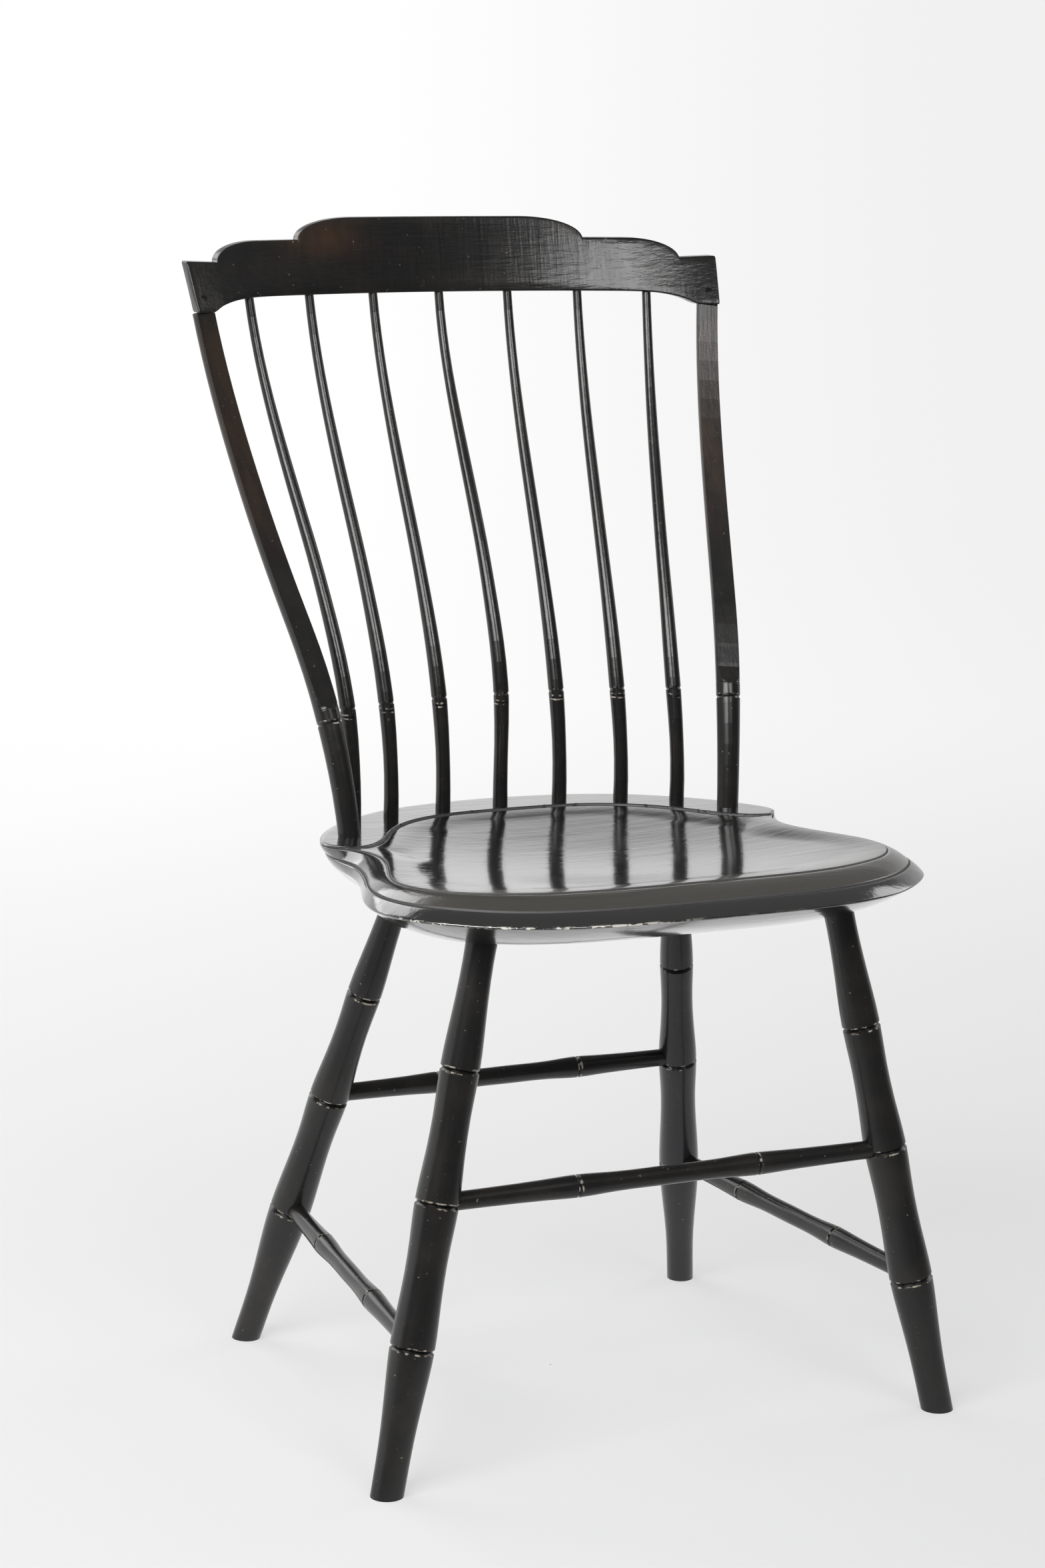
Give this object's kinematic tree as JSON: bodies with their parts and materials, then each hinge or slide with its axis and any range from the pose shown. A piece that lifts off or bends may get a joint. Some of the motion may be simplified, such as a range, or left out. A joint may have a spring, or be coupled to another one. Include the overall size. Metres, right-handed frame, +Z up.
{
  "type": "windsor chair",
  "caption": "Windsor side chair with a stepped crest rail, slender bent back spindles, shaved back posts, a saddled plank seat, splayed ring-turned legs and box stretchers.",
  "frame": {"origin": "on the floor, at the centre of the chair's bounding box", "axes": "+Z up, +X towards the right as seen from the front, the chair's front faces -Y"},
  "size_m": [0.4834, 0.519, 0.876],
  "materials": {
    "painted_seat": "black paint, semi-gloss, worn smooth",
    "painted_crest": "black paint, satin, brown where worn",
    "painted_posts": "black paint, satin, brown where worn",
    "painted_spindles": "black paint, satin",
    "painted_legs": "black paint, satin",
    "painted_stretchers": "black paint, satin",
    "bare_wood": "bare, unpainted"
  },
  "bodies": {
    "root": {"seat": "painted_seat", "crest_rail": "painted_crest", "back_post_left": "painted_posts", "back_post_right": "painted_posts", "spindle_1": "painted_spindles", "spindle_2": "painted_spindles", "spindle_3": "painted_spindles", "spindle_4": "painted_spindles", "spindle_5": "painted_spindles", "spindle_6": "painted_spindles", "spindle_7": "painted_spindles", "leg_front_left": "painted_legs", "leg_front_right": "painted_legs", "leg_back_left": "painted_legs", "leg_back_right": "painted_legs", "stretcher_front": "painted_stretchers", "stretcher_rear": "painted_stretchers", "stretcher_left": "painted_stretchers", "stretcher_right": "painted_stretchers", "leg_wedges": "bare_wood", "crest_pins": "painted_crest"}
  },
  "joints": []
}
